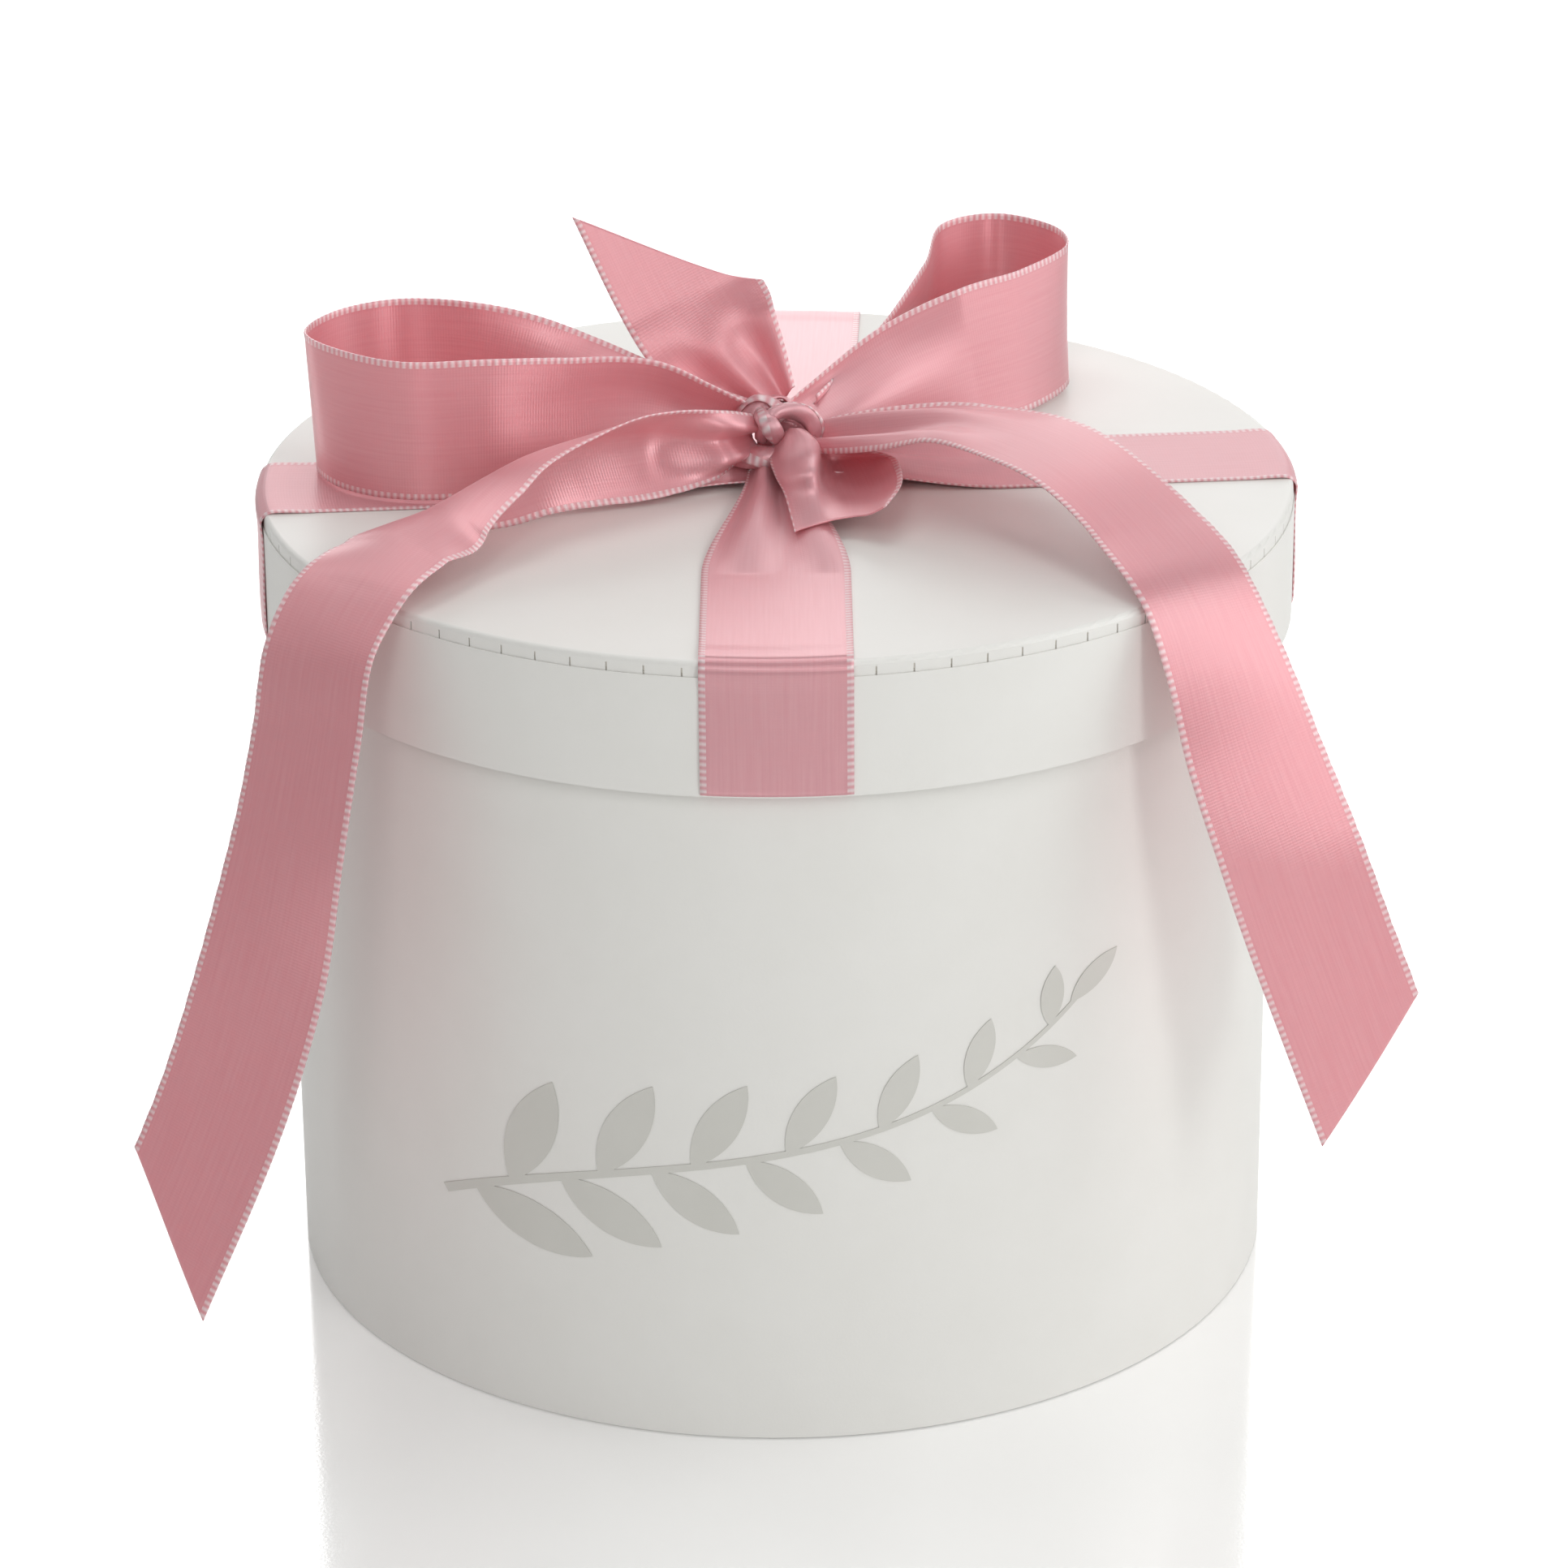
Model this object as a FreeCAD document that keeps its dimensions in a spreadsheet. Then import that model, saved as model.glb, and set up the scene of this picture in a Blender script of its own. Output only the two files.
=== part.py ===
"""Round flower box with a lift-off lid, crossed ribbon bands and a satin bow.

Millimetres, +Z up. The origin is the centre of the face that the box stands on, and -Y is the
front. Boards are glued together through papers; "glue" is the glue line left between two layers.
"""
import FreeCAD, Part
import math
import os
import Sketcher

doc = FreeCAD.newDocument("flower_box")
V = FreeCAD.Vector

# ---------------------------------------------------------------- driving dimensions, in mm
DIMS = {
    "glue": 0.05,            # glue line between two layers
    "paper": 0.2,            # coated wrapping paper
    "turn_width": 12.0,      # how far a paper is turned in round a board's edge
    "lid_radius": 91.0,      # outside of the rim's paper
    "lid_height": 144.5,     # top of the lid, from the floor
    "rim_depth": 23.6,       # from the lid's top down to the rim's lower edge
    "rim_board": 1.25,       # greyboard hoop
    "top_board": 2.0,        # greyboard disc of the lid
    "lip": 2.7,              # uncovered band between the lid's top and the rim paper's cut edge
    "edge_round": 0.6,       # soft corner of the lid's board
    "tab_count": 90,         # notches round the lid's turned-down paper
    "notch_width": 0.3,
    "body_radius": 88.0,     # outside of the wall's paper
    "body_height": 142.0,    # rim of the open box
    "cover_inset": 1.5,      # the foot's paper disc ends this far inside the wall
    "wall_board": 1.8,       # greyboard tube
    "base_board": 1.8,       # greyboard disc of the base
    "seam_angle": 7.0,       # overlap of the wall paper, in degrees
    "liner_drop": 6.0,       # the wall liner stops this far below the open rim
    "ribbon_width": 25.0,
    "ribbon_thick": 0.25,
    "tape": 0.1,
    "tape_height": 8.0,
    "tape_width": 18.0,
    "tape_rise": 1.5,        # the tape's lower edge, above the rim's lower edge
    "tuck": 11.0,            # length of ribbon turned up inside the rim
    "rim_lap": 4.0,          # the round stretch of a band that lies on the lid
    "band_start": 8.0,       # where a band comes out from under the knot
    "band_pinch": 12.0,      # width of a band at the knot
    "pinch_end": 40.0,       # distance from the middle where a band is full width again
    "decal_thick": 0.1,
}

sheet = doc.addObject("Spreadsheet::Sheet", "dims")
for row, (alias, number) in enumerate(DIMS.items(), start=1):
    sheet.set("A%d" % row, alias)
    sheet.set("B%d" % row, str(number))
    sheet.setAlias("B%d" % row, alias)
doc.recompute()


def value(expression):
    """A length worked out from the sheet, as a plain number."""
    return float(sheet.evalExpression(expression))


# Radii and heights that several pieces share, written as sums of the sheet's cells.
WRAP_IN = "dims.body_radius - dims.paper"
TUBE_OUT = WRAP_IN + " - dims.glue"
TUBE_IN = TUBE_OUT + " - dims.wall_board"
TURN_OUT = TUBE_IN + " - dims.glue"
TURN_IN = TURN_OUT + " - dims.paper"
LINER_OUT = TURN_IN + " - dims.glue"
LINER_IN = LINER_OUT + " - dims.paper"
FOOT_PAPER = "dims.paper + dims.glue"
BOARD_FOOT = "2 * dims.paper + 2 * dims.glue"
BASE_TOP = BOARD_FOOT + " + dims.base_board"
TUBE_TOP = "dims.body_height - dims.paper - dims.glue"

RIM_PAPER_IN = "dims.lid_radius - dims.paper"
TAB_OUT = RIM_PAPER_IN + " - dims.glue"
TAB_IN = TAB_OUT + " - dims.paper"
HOOP_OUT = TAB_IN + " - dims.glue"
HOOP_IN = HOOP_OUT + " - dims.rim_board"
RIM_TURN_OUT = HOOP_IN + " - dims.glue"
RIM_TURN_IN = RIM_TURN_OUT + " - dims.paper"
TAPE_OUT = RIM_TURN_IN + " - dims.glue"
TAPE_IN = TAPE_OUT + " - dims.tape"
TUCK_OUT = TAPE_IN + " - dims.glue"
TUCK_IN = TUCK_OUT + " - dims.ribbon_thick"
RIM_FOOT = "dims.lid_height - dims.rim_depth"
HOOP_FOOT = RIM_FOOT + " + dims.paper + dims.glue"
LID_BOARD_TOP = "dims.lid_height - dims.paper - dims.glue"
LID_BOARD_FOOT = LID_BOARD_TOP + " - dims.top_board"
BAND_OUT = "dims.lid_radius + dims.glue + dims.ribbon_thick"
BAND_IN = "dims.lid_radius + dims.glue"


# ---------------------------------------------------------------- helpers
def new_body(label):
    return doc.addObject("PartDesign::Body", label)


def origin_plane(body, role):
    for feature in body.Origin.OriginFeatures:
        if feature.Role == role:
            return feature
    raise ValueError(role)


def outline(body, role, points, name="outline"):
    """A closed sketch of straight lines whose corners are bound to the sheet."""
    sketch = body.newObject("Sketcher::SketchObject", name)
    sketch.AttachmentSupport = [(origin_plane(body, role), "")]
    sketch.MapMode = "FlatFace"
    corners = [V(value(x), value(y), 0) for x, y in points]
    count = len(corners)
    for index in range(count):
        sketch.addGeometry(Part.LineSegment(corners[index], corners[(index + 1) % count]), False)
    for index in range(count):
        sketch.addConstraint(Sketcher.Constraint("Coincident", index, 2, (index + 1) % count, 1))
    for index, (x, y) in enumerate(points):
        for kind, axis, text, number in (("DistanceX", -2, x, corners[index].x),
                                         ("DistanceY", -1, y, corners[index].y)):
            if number == 0:
                sketch.addConstraint(Sketcher.Constraint("PointOnObject", index, 1, axis))
                continue
            place = sketch.addConstraint(Sketcher.Constraint(kind, -1, 1, index, 1, number))
            sketch.setExpression("Constraints[%d]" % place, text)
    return sketch


def rectangle(r0, r1, z0, z1):
    return [(r0, z0), (r1, z0), (r1, z1), (r0, z1)]


def revolve(body, points, angle=None, name="turned"):
    """Turn a profile in the XZ plane about Z: a full turn, or a symmetric sector."""
    profile = outline(body, "XZ_Plane", points, name + "_profile")
    turned = body.newObject("PartDesign::Revolution", name)
    turned.Profile = profile
    turned.ReferenceAxis = (profile, ["V_Axis"])
    turned.Angle = 360
    if angle:
        turned.setExpression("Angle", angle)
        turned.Midplane = True
    profile.Visibility = False
    return turned


def turned_body(label, points):
    body = new_body(label)
    revolve(body, points)
    return body


def disc(label, radius, foot, thick):
    """A flat round sheet or board."""
    solid = doc.addObject("Part::Cylinder", label)
    solid.setExpression("Radius", radius)
    solid.setExpression("Height", thick)
    solid.setExpression("Placement.Base.z", foot)
    return solid


def circle_edges(shape, radius, height):
    """Names of the circular edges of one radius at one height."""
    names = []
    for number, edge in enumerate(shape.Edges, start=1):
        curve = edge.Curve
        if isinstance(curve, Part.Circle) and abs(curve.Radius - radius) < 1e-4:
            if abs(curve.Center.z - height) < 1e-4:
                names.append("Edge%d" % number)
    return names


def fillet_circle(body, base, radius_expression, height_expression, size_expression, name):
    doc.recompute()
    names = circle_edges(base.Shape, value(radius_expression), value(height_expression))
    rounded = body.newObject("PartDesign::Fillet", name)
    rounded.Base = (base, names)
    rounded.setExpression("Radius", size_expression)
    return rounded


# ---------------------------------------------------------------- box body
tube = turned_body("body_tube", rectangle(TUBE_IN, TUBE_OUT, BOARD_FOOT, TUBE_TOP))

base_board = disc("body_base_board", TUBE_IN + " - dims.glue", BOARD_FOOT, "dims.base_board")

# The wall paper: up the outside, over the rim and down inside, and turned in under the foot.
wrap = new_body("body_outer_wrap")
revolve(wrap, [
    (WRAP_IN + " - dims.turn_width", FOOT_PAPER),
    ("dims.body_radius", FOOT_PAPER),
    ("dims.body_radius", "dims.body_height"),
    (TURN_IN, "dims.body_height"),
    (TURN_IN, "dims.body_height - dims.turn_width"),
    (TURN_OUT, "dims.body_height - dims.turn_width"),
    (TURN_OUT, "dims.body_height - dims.paper"),
    (WRAP_IN, "dims.body_height - dims.paper"),
    (WRAP_IN, FOOT_PAPER + " + dims.paper"),
    (WRAP_IN + " - dims.turn_width", FOOT_PAPER + " + dims.paper"),
])
# The overlap where the paper's two ends meet; it stops short of both turned edges.
revolve(wrap, rectangle("dims.body_radius", "dims.body_radius + dims.paper",
                        FOOT_PAPER + " + dims.paper", "dims.body_height - dims.paper"),
        "dims.seam_angle", "seam")
wrap.Placement = FreeCAD.Placement(V(0, 0, 0), FreeCAD.Rotation(V(0, 0, 1), 112))

wall_liner = turned_body("body_wall_liner", rectangle(
    LINER_IN, LINER_OUT, BASE_TOP + " + dims.paper + 2 * dims.glue",
    "dims.body_height - dims.liner_drop"))

base_liner = disc("base_liner_disc", TURN_IN, BASE_TOP + " + dims.glue", "dims.paper")
base_cover = disc("base_cover_disc", "dims.body_radius - dims.cover_inset", "0", "dims.paper")

# ---------------------------------------------------------------- front decal
# A leaf sprig cut from thin vinyl: a stem that runs round the front wall, with leaves in pairs
# that shrink towards the tip. Drawn flat in X and Z, then pressed onto the round wall.
STEM_POINTS = [(-58, 38), (-36, 47), (-8, 53), (22, 60), (50, 76)]
STEM_WIDTH = 1.6
LEAF_PAIRS = 7
LEAF_LENGTH = 22.0
LEAF_SHRINK = 0.5             # length of the last leaf, as a part of the first one's
LEAF_SLIMNESS = 0.36          # width of a leaf over its length
LEAF_SPREAD = 48.0            # degrees between a leaf and the stem
DECAL_DEPTH = 60.0            # how far back the flat drawing is pressed

stem_curve = Part.BSplineCurve()
stem_curve.interpolate([V(x, 0, z) for x, z in STEM_POINTS])


def stem_place(share):
    """Point and direction on the stem, from 0 at its foot to 1 at its tip."""
    at = stem_curve.FirstParameter + share * (stem_curve.LastParameter - stem_curve.FirstParameter)
    direction = stem_curve.tangent(at)[0]
    return stem_curve.value(at), math.degrees(math.atan2(direction.z, direction.x))


def leaf_face(root, angle, length):
    """A pointed leaf between two arcs, rooted on the stem."""
    along = V(math.cos(math.radians(angle)), 0, math.sin(math.radians(angle)))
    across = V(-along.z, 0, along.x)
    tip = root + along * length
    belly = root + along * (length * 0.45)
    half = length * LEAF_SLIMNESS / 2
    upper = Part.Arc(root, belly + across * half, tip).toShape()
    lower = Part.Arc(tip, belly - across * half, root).toShape()
    return Part.Face(Part.Wire([upper, lower]))


def stem_face():
    """The stem, a strip that follows its curve."""
    rail = []
    for side in (1, -1):
        points = []
        for step in range(9):
            place, angle = stem_place(step / 8)
            normal = V(-math.sin(math.radians(angle)), 0, math.cos(math.radians(angle)))
            points.append(place + normal * (side * STEM_WIDTH / 2 * (1 - 0.5 * step / 8)))
        curve = Part.BSplineCurve()
        curve.interpolate(points)
        rail.append(curve.toShape())
    ends = [Part.makeLine(rail[0].Vertexes[i].Point, rail[1].Vertexes[i].Point) for i in (0, -1)]
    return Part.Face(Part.Wire(Part.__sortEdges__([rail[0], ends[1], rail[1], ends[0]])))


leaves = []
for pair in range(LEAF_PAIRS):
    share = 0.08 + 0.84 * pair / (LEAF_PAIRS - 1)
    size = LEAF_LENGTH * (1 - (1 - LEAF_SHRINK) * pair / (LEAF_PAIRS - 1))
    for side in (1, -1):
        root, heading = stem_place(share + 0.03 * side)
        leaves.append(leaf_face(root, heading + side * LEAF_SPREAD, size))
tip_place, tip_heading = stem_place(1)
leaves.append(leaf_face(tip_place - V(1, 0, 0.5), tip_heading, LEAF_LENGTH * LEAF_SHRINK))

sprig_pieces = [face.extrude(V(0, -DECAL_DEPTH, 0)) for face in [stem_face()] + leaves]
sprig_solid = sprig_pieces[0].multiFuse(sprig_pieces[1:])
sprig = doc.addObject("Part::Feature", "sprig_drawing")
sprig.Shape = sprig_solid
sprig.Placement = FreeCAD.Placement(V(0, -50, 0), FreeCAD.Rotation())

vinyl_outer = disc("vinyl_outer", "dims.body_radius + dims.glue + dims.decal_thick", "0",
                   "dims.body_height")
vinyl_inner = disc("vinyl_inner", "dims.body_radius + dims.glue", "0", "dims.body_height")
vinyl_skin = doc.addObject("Part::Cut", "vinyl_skin")
vinyl_skin.Base = vinyl_outer
vinyl_skin.Tool = vinyl_inner
decal = doc.addObject("Part::Common", "front_decal")
decal.Base = vinyl_skin
decal.Tool = sprig

# ---------------------------------------------------------------- lid
top_board = new_body("lid_top_board")
top_disc = revolve(top_board, rectangle("0", HOOP_OUT, LID_BOARD_FOOT, LID_BOARD_TOP))
fillet_circle(top_board, top_disc, HOOP_OUT, LID_BOARD_TOP, "dims.edge_round", "soft_corner")

rim_hoop = turned_body("lid_rim_board", rectangle(HOOP_IN, HOOP_OUT, HOOP_FOOT,
                                                  LID_BOARD_FOOT + " - dims.glue"))

# The top paper: a disc whose edge is cut into tabs and turned down over the rim.
top_paper = new_body("lid_top_paper")
cover = revolve(top_paper, [
    ("0", LID_BOARD_TOP + " + dims.glue"),
    (TAB_IN, LID_BOARD_TOP + " + dims.glue"),
    (TAB_IN, "dims.lid_height - dims.turn_width"),
    (TAB_OUT, "dims.lid_height - dims.turn_width"),
    (TAB_OUT, "dims.lid_height"),
    ("0", "dims.lid_height"),
])
outer_round = fillet_circle(top_paper, cover, TAB_OUT, "dims.lid_height",
                            "dims.edge_round + dims.glue + dims.paper", "outer_round")
fillet_circle(top_paper, outer_round, TAB_IN, LID_BOARD_TOP + " + dims.glue",
              "dims.edge_round + dims.glue", "inner_round")

# Each notch is a slit through the turned-down paper, from just under the lid's top edge.
notch_top = value("dims.lid_height - dims.edge_round - 3 * dims.paper")
notch_spare = 1.0             # the tool runs this far past the paper's edge
notch_foot = value("dims.lid_height - dims.turn_width") - notch_spare
notch_depth = 3.0             # of the tool, across the paper
slits = []
for number in range(int(value("dims.tab_count"))):
    slit = Part.makeBox(notch_depth, value("dims.notch_width"), notch_top - notch_foot,
                        V(value(TAB_IN) - notch_depth / 2, 0, notch_foot))
    slit.rotate(V(0, 0, 0), V(0, 0, 1), 360 * number / value("dims.tab_count"))
    slits.append(slit)
notches = doc.addObject("Part::Feature", "tab_notches")
notches.Shape = Part.makeCompound(slits)
top_cover = doc.addObject("Part::Cut", "lid_top_cover")
top_cover.Base = top_paper
top_cover.Tool = notches

# The rim paper: down the outside from its cut edge, round the lower edge and up inside.
rim_wrap = turned_body("lid_rim_wrap", [
    ("dims.lid_radius", "dims.lid_height - dims.lip"),
    (RIM_PAPER_IN, "dims.lid_height - dims.lip"),
    (RIM_PAPER_IN, RIM_FOOT + " + dims.paper"),
    (RIM_TURN_OUT, RIM_FOOT + " + dims.paper"),
    (RIM_TURN_OUT, RIM_FOOT + " + dims.turn_width"),
    (RIM_TURN_IN, RIM_FOOT + " + dims.turn_width"),
    (RIM_TURN_IN, RIM_FOOT),
    ("dims.lid_radius", RIM_FOOT),
])

lid_liner = disc("lid_inner_liner", RIM_TURN_IN, LID_BOARD_FOOT + " - dims.glue - dims.paper",
                 "dims.paper")

# ---------------------------------------------------------------- ribbon bands and their tape
BAND_TURNS = {"band_right": 4.5, "band_back": 87.7, "band_left": 184.5, "band_front": 269.8}


def band(label, turn):
    """One stretch of ribbon, made along +X and turned to its place.

    It lies on the lid, goes down the rim, round its lower edge and up inside. Near the knot it
    is pinched to less than its width.
    """
    body = new_body(label)
    revolve(body, [
        (BAND_OUT + " - dims.rim_lap", "dims.lid_height + dims.glue"),
        (BAND_IN, "dims.lid_height + dims.glue"),
        (BAND_IN, RIM_FOOT + " - dims.glue"),
        (TUCK_OUT, RIM_FOOT + " - dims.glue"),
        (TUCK_OUT, RIM_FOOT + " + dims.tuck"),
        (TUCK_IN, RIM_FOOT + " + dims.tuck"),
        (TUCK_IN, RIM_FOOT + " - dims.glue - dims.ribbon_thick"),
        (BAND_OUT, RIM_FOOT + " - dims.glue - dims.ribbon_thick"),
        (BAND_OUT, "dims.lid_height + dims.glue + dims.ribbon_thick"),
        (BAND_OUT + " - dims.rim_lap", "dims.lid_height + dims.glue + dims.ribbon_thick"),
    ], "180 / pi * dims.ribbon_width / (dims.lid_radius + dims.ribbon_thick)", "rim_part")
    top = outline(body, "XY_Plane", [
        ("dims.band_start", "-dims.band_pinch / 2"),
        ("dims.pinch_end", "-dims.ribbon_width / 2"),
        ("dims.lid_radius - dims.rim_lap / 2", "-dims.ribbon_width / 2"),
        ("dims.lid_radius - dims.rim_lap / 2", "dims.ribbon_width / 2"),
        ("dims.pinch_end", "dims.ribbon_width / 2"),
        ("dims.band_start", "dims.band_pinch / 2"),
    ], "top_outline")
    top.setExpression("AttachmentOffset.Base.z", "dims.lid_height + dims.glue")
    strip = body.newObject("PartDesign::Pad", "top_part")
    strip.Profile = top
    strip.setExpression("Length", "dims.ribbon_thick")
    body.Placement = FreeCAD.Placement(V(0, 0, 0), FreeCAD.Rotation(V(0, 0, 1), turn))
    return body


bands = [band(label, turn) for label, turn in BAND_TURNS.items()]

# One pad behind each tucked ribbon end; the four are one node.
tape_ring = doc.addObject("Part::Feature", "ribbon_tape_pads")
tape_span = math.degrees(value("dims.tape_width") / value(TAPE_OUT))
tape_foot = value(RIM_FOOT + " + dims.tape_rise")
tape_pads = []
for turn in BAND_TURNS.values():
    outer = Part.makeCylinder(value(TAPE_OUT), value("dims.tape_height"), V(0, 0, tape_foot),
                              V(0, 0, 1), tape_span)
    inner = Part.makeCylinder(value(TAPE_IN), value("dims.tape_height"), V(0, 0, tape_foot),
                              V(0, 0, 1), tape_span)
    pad = outer.cut(inner)
    pad.rotate(V(0, 0, 0), V(0, 0, 1), turn - tape_span / 2)
    tape_pads.append(pad)
tape_ring.Shape = Part.makeCompound(tape_pads)

# ---------------------------------------------------------------- bow
# A station is the middle of the ribbon, the way its width points, and its width there. The
# ribbon is gathered, and so narrower, where it comes out of the knot.
BOW_THICK = 0.6

LOOP_LEFT = [
    ((-4, 0, 152), (0, 0.2, 1), 9),
    ((-14, -2, 154), (0, 0.2, 1), 16),
    ((-24, -5, 156.5), (0, 0.1, 1), 21.5),
    ((-37, -10, 157.4), (0, 0, 1), 24),
    ((-50, -14, 158), (0, 0, 1), 25),
    ((-64, -15, 158), (0, 0, 1), 25),
    ((-75, -9, 158), (0, 0.05, 1), 25),
    ((-81.5, 2, 158), (-0.05, 0, 1), 25),
    ((-77, 14, 158), (0, 0, 1), 25),
    ((-66, 20, 158), (0, 0, 1), 25),
    ((-52, 18, 157.8), (0, 0, 1), 24.5),
    ((-36, 12, 155.5), (0, 0.4, 1), 21),
    ((-20, 6, 153), (0, 0.4, 1), 16),
    ((-5, 3, 152), (0, 0.3, 1), 9),
]

LOOP_RIGHT = [
    ((5, 1, 153), (0, 0.3, 1), 9),
    ((13, 6, 154.5), (0, 0.3, 1), 15),
    ((23, 14, 156.5), (0, 0.3, 1), 21),
    ((35, 23, 157.7), (0, 0.3, 1), 25),
    ((46, 33, 158), (0, 0.3, 1), 25),
    ((53, 45, 158.5), (0, 0.2, 1), 25),
    ((51, 57, 159), (0, 0, 1), 25),
    ((41, 63, 159.5), (0, 0, 1), 25),
    ((31, 57, 159.5), (0, 0, 1), 25),
    ((25, 44, 158.5), (0, 0, 1), 23),
    ((18, 29, 156), (0, 0, 1), 18),
    ((5, 5, 153), (0, 0, 1), 9),
]

TAIL_LEFT = [
    ((-5, -3, 151), (-0.2, -1, -1), 9),
    ((-16, -9, 153.5), (-0.3, -1, -0.6), 19),
    ((-30, -19.5, 155), (-0.6, -1, -0.4), 24),
    ((-47, -34, 152), (0.1, -1, 0), 25),
    ((-60, -48, 150.3), (0.6, -0.9, 0.05), 25),
    ((-70.5, -60, 146.8), (0.7, -0.7, 0.03), 25),
    ((-76, -66, 138), (0.75, -0.65, 0.1), 25),
    ((-78.5, -70, 124), (0.75, -0.6, 0.2), 25),
    ((-82, -75, 106), (0.8, -0.6, 0.15), 25),
    ((-87, -79, 84), (0.85, -0.45, 0.1), 25),
    ((-95, -83, 60), (0.87, -0.45, 0.05), 25),
    ((-108, -88.5, 31), (0.87, -0.45, 0), 25),
]

TAIL_RIGHT = [
    ((7, -3, 152.5), (0, -1, -0.3), 9),
    ((20, -9, 156), (-0.2, -1, -0.1), 18),
    ((31, -15, 158.7), (-0.25, -1, 0.05), 23),
    ((42, -23, 159), (-0.35, -1, 0), 25),
    ((52, -34, 157.3), (-0.5, -0.9, 0), 25),
    ((62, -47, 151.7), (-0.6, -0.8, 0), 25),
    ((69.3, -59.5, 145.3), (-0.7, -0.7, 0), 25),
    ((74, -66, 135), (-0.8, -0.6, 0), 25),
    ((79, -71, 120), (-0.9, -0.4, 0.05), 25),
    ((85, -75, 104), (-0.95, -0.3, 0.05), 25),
    ((91.5, -77, 86), (-0.95, -0.3, -0.1), 25),
    ((102.5, -80, 57), (-0.95, -0.3, -0.25), 25),
]

TAIL_BACK = [
    ((0, 6, 155), (-1, 0, -0.2), 9),
    ((-5, 9, 160), (-1, 0, -0.25), 17),
    ((-10.4, 11.5, 166), (-1, 0, -0.25), 24),
    ((-15.3, 16, 172.4), (-1, 0, -0.1), 25),
    ((-24, 25.5, 187.5), (-1, 0, 0), 25),
]

# How far the cut end leans along the ribbon, positive where the edge that the width points to
# is the longer one.
CUT_SLANT = {"tail_left": 20.0, "tail_right": 17.5, "tail_back": 24.0}


def ribbon_frame(stations, index):
    """Middle, direction, width direction and outward direction of a ribbon at one station."""
    place, width_way, width = stations[index]
    before = V(*stations[max(index - 1, 0)][0])
    after = V(*stations[min(index + 1, len(stations) - 1)][0])
    along = (after - before).normalize()
    across = V(*width_way)
    across = (across - along * across.dot(along)).normalize()
    return V(*place), along, across, along.cross(across).normalize(), width


def ribbon_corners(stations, index):
    """The four corners of the ribbon's cross-section at one station."""
    middle, along, across, out, width = ribbon_frame(stations, index)
    half = across * (width / 2)
    skin = out * (BOW_THICK / 2)
    return [middle - half - skin, middle + half - skin, middle + half + skin, middle - half + skin]


def ruled_face(first, second):
    """The face of straight lines between two rails with the same knots."""
    surface = Part.BSplineSurface()
    surface.buildFromPolesMultsKnots([first.getPoles(), second.getPoles()],
                                     [2, 2], first.getMultiplicities(), [0.0, 1.0],
                                     first.getKnots(), False, False, 1, first.Degree)
    return surface.toShape()


def scissors(stations, slant):
    """The wedge that a slanted cut removes beyond the ribbon's last station."""
    middle, along, across, out, width = ribbon_frame(stations, len(stations) - 1)
    spare = 0.2               # part of the width by which the wedge is wider on each side
    past_end = 5.0
    reach = 15.0              # how far the wedge stands out on each face of the ribbon
    corners = [(0, 0.5), (-slant * (1 + spare), -0.5 - spare), (past_end, -0.5 - spare),
               (past_end, 0.5 + spare), (slant * spare, 0.5 + spare)]
    points = [middle + along * a + across * (c * width) - out * reach for a, c in corners]
    return Part.Face(Part.makePolygon(points + [points[0]])).extrude(out * (2 * reach))


def ribbon(label, stations):
    """A ribbon between four smooth rails, one along each corner, closed by two flat ends."""
    sections = [ribbon_corners(stations, index) for index in range(len(stations))]
    knots = [float(index) for index in range(len(stations))]
    rails = []
    for corner in range(4):
        rail = Part.BSplineCurve()
        rail.interpolate(Points=[section[corner] for section in sections], Parameters=knots)
        rails.append(rail)
    faces = [ruled_face(rails[corner], rails[(corner + 1) % 4]) for corner in range(4)]
    for section in (sections[0], sections[-1]):
        faces.append(Part.Face(Part.makePolygon(section + [section[0]])))
    shell = Part.makeShell(faces)
    shell.sewShape()
    solid = Part.makeSolid(Part.Shell(shell.Faces))
    if solid.Volume < 0:
        solid.reverse()
    if label in CUT_SLANT:
        solid = solid.cut(scissors(stations, CUT_SLANT[label])).Solids[0]
    piece = doc.addObject("Part::Feature", label)
    piece.Shape = solid
    return piece


bow_ribbons = [
    ribbon("bow_loop_left", LOOP_LEFT),
    ribbon("bow_loop_right", LOOP_RIGHT),
    ribbon("tail_left", TAIL_LEFT),
    ribbon("tail_right", TAIL_RIGHT),
    ribbon("tail_back", TAIL_BACK),
]

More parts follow.
